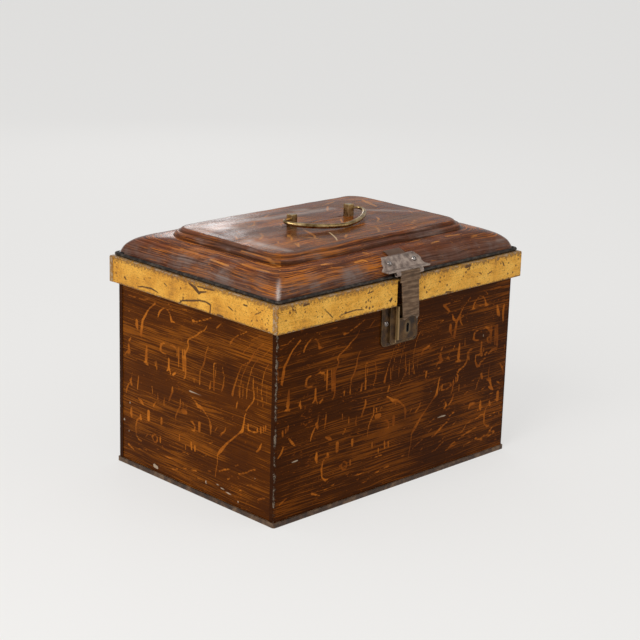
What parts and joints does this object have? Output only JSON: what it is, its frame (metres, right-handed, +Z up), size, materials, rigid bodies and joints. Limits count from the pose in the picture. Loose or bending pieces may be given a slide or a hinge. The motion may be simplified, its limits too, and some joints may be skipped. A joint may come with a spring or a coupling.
{
  "type": "tole document box",
  "caption": "Oblong tinplate box with a stepped dome lid on back hinges, a deep lid skirt, a drop handle, and a hasp that closes over a riveted box lock.",
  "frame": {"origin": "middle of the underside of the bottom, between the walls", "axes": "+Z up out of the lid, +X along the front towards its right end, -Y out of the front where the lock is"},
  "size_m": [0.3704, 0.2757, 0.2823],
  "materials": {
    "oak_grained_tin": "glossy japanning over tinplate, hand-grained to look like oak",
    "ochre_skirt_paint": "semi-gloss yellow ochre paint, chipped at the edges",
    "wire_iron": "dark drawn iron wire",
    "hinge_black": "black japanned iron",
    "handle_brass": "antique brass, rubbed bright",
    "hasp_bronze": "dull brown bronze, worn",
    "lock_brass": "dark aged brass",
    "rivet_steel": "dark polished iron"
  },
  "bodies": {
    "body": {"bottom_pan": "oak_grained_tin", "front_panel": "oak_grained_tin", "back_panel": "oak_grained_tin", "left_panel": "oak_grained_tin", "right_panel": "oak_grained_tin", "rim_wire": "wire_iron", "lock_plate": "lock_brass", "lock_case": "lock_brass", "lock_key_pin": "rivet_steel", "lock_spring": "rivet_steel", "lock_rivets": "rivet_steel", "hinge_left_body_leaf": "hinge_black", "hinge_right_body_leaf": "hinge_black", "hinge_left_pin": "rivet_steel", "hinge_right_pin": "rivet_steel", "hinge_body_rivets": "hinge_black"},
    "lid": {"lid_dome": "oak_grained_tin", "lid_edge_wire": "wire_iron", "lid_front_skirt": "ochre_skirt_paint", "lid_back_skirt": "ochre_skirt_paint", "lid_left_skirt": "ochre_skirt_paint", "lid_right_skirt": "ochre_skirt_paint", "hinge_left_lid_leaf": "hinge_black", "hinge_right_lid_leaf": "hinge_black", "hinge_lid_rivets": "hinge_black", "hasp_leaf": "hasp_bronze", "hasp_leaf_rivets": "rivet_steel", "hasp_pin": "rivet_steel", "handle_post_left": "handle_brass", "handle_post_right": "handle_brass", "handle_washers": "handle_brass", "handle_nuts": "handle_brass"},
    "hasp": {"hasp_strap": "hasp_bronze", "hasp_staple": "hasp_bronze"},
    "handle": {"handle_bail": "handle_brass"},
    "bolt": {"lock_bolt": "lock_brass"}
  },
  "joints": [
    {"name": "lid_hinge", "type": "hinge", "parent": "body", "child": "lid", "pos_m": [0, 0.13465, 0.20155], "axis": [-1, 0, 0], "range_deg": [0, 105]},
    {"name": "hasp_swing", "type": "hinge", "parent": "lid", "child": "hasp", "pos_m": [0, -0.13285, 0.2389], "axis": [-1, 0, 0], "range_deg": [0, 90]},
    {"name": "handle_swing", "type": "hinge", "parent": "lid", "child": "handle", "pos_m": [0, 0, 0.277], "axis": [-1, 0, 0], "range_deg": [0, 196.2]},
    {"name": "bolt_slide", "type": "slide", "parent": "body", "child": "bolt", "axis": [-1, 0, 0], "range_m": [0, 0.006]}
  ]
}
